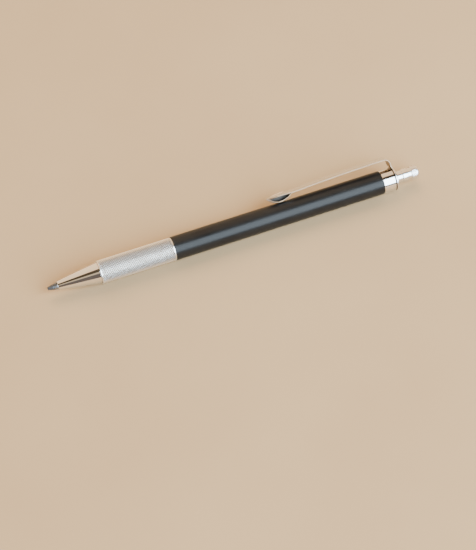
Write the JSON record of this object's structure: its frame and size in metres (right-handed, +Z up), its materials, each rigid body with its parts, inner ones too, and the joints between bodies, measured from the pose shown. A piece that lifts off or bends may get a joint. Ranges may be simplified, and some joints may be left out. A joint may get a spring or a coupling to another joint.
{
  "type": "lead holder",
  "caption": "Slim clutch lead holder: knurled metal grip, long black barrel, tapered nozzle with split jaws, pocket clip and a sprung push button that hides a lead pointer.",
  "frame": {"origin": "on the pencil's axis, at the middle of the knurled grip", "axes": "+X along the pencil's axis towards the push button, +Z up from the surface it lies on; the clip leans 40.5 degrees from +Z towards +Y"},
  "size_m": [0.1407, 0.0116, 0.0123],
  "materials": {
    "chrome_nozzle": "polished chrome plate on brass",
    "grip_metal": "bright diamond knurl",
    "barrel_black": "satin black",
    "chrome_collar": "polished chrome plate",
    "clip_steel": "polished spring steel",
    "button_metal": "bright plated, turned",
    "bush_metal": "turned",
    "brass": "turned",
    "tube_metal": "drawn tube",
    "jaw_metal": "turned, split",
    "spring_steel": "drawn wire",
    "pointer_plastic": "moulded",
    "blade_steel": "ground",
    "graphite": "graphite, slightly lustrous"
  },
  "bodies": {
    "holder": {"nozzle": "chrome_nozzle", "grip_sleeve": "grip_metal", "front_insert": "brass", "barrel": "barrel_black", "end_bush": "bush_metal", "collar": "chrome_collar", "clip_ring": "clip_steel", "spring_washer": "bush_metal", "return_spring": "spring_steel"},
    "pusher": {"push_tube": "tube_metal", "collet_shank": "brass", "spring_stop": "brass"},
    "finger_1": {"jaw_1": "jaw_metal"},
    "finger_2": {"jaw_2": "jaw_metal"},
    "finger_3": {"jaw_3": "jaw_metal"},
    "core": {"lead": "graphite"},
    "cap": {"push_button": "button_metal", "pointer_insert": "pointer_plastic", "pointer_blade": "blade_steel"},
    "clip": {"clip_arm": "clip_steel"}
  },
  "joints": [
    {"name": "push_slide", "type": "slide", "parent": "holder", "child": "pusher", "axis": [-1, 0, 0], "range_m": [0, 0.004], "stiffness_N_per_m": 500, "springref_m": -0.004, "deforming": ["return_spring"]},
    {"name": "jaw_1_open", "type": "hinge", "parent": "pusher", "child": "finger_1", "pos_m": [-0.01503, -0.00096, 0.00056], "axis": [0, 0.5, 0.866], "range_deg": [0, 0.47]},
    {"name": "jaw_2_open", "type": "hinge", "parent": "pusher", "child": "finger_2", "pos_m": [-0.01503, 0, -0.00111], "axis": [0, -1, 0], "range_deg": [0, 0.47]},
    {"name": "jaw_3_open", "type": "hinge", "parent": "pusher", "child": "finger_3", "pos_m": [-0.01503, 0.00096, 0.00056], "axis": [0, 0.5, -0.866], "range_deg": [0, 0.47]},
    {"name": "lead_slide", "type": "slide", "parent": "pusher", "child": "core", "axis": [-1, 0, 0], "range_m": [-0.01, 0.03]},
    {"name": "button_pull", "type": "slide", "parent": "pusher", "child": "cap", "axis": [1, 0, 0], "range_m": [0, 0.012]},
    {"name": "clip_flex", "type": "hinge", "parent": "holder", "child": "clip", "pos_m": [0.09865, 0.00325, 0.0038], "axis": [0, 0.7604, -0.6494], "range_deg": [0, 4.5], "stiffness_Nm_per_rad": 3.3, "springref_deg": -1.72}
  ],
  "couplings": [
    {"joint": "jaw_1_open", "follows": "push_slide", "rad_per_m": 2},
    {"joint": "jaw_2_open", "follows": "push_slide", "rad_per_m": 2},
    {"joint": "jaw_3_open", "follows": "push_slide", "rad_per_m": 2}
  ]
}
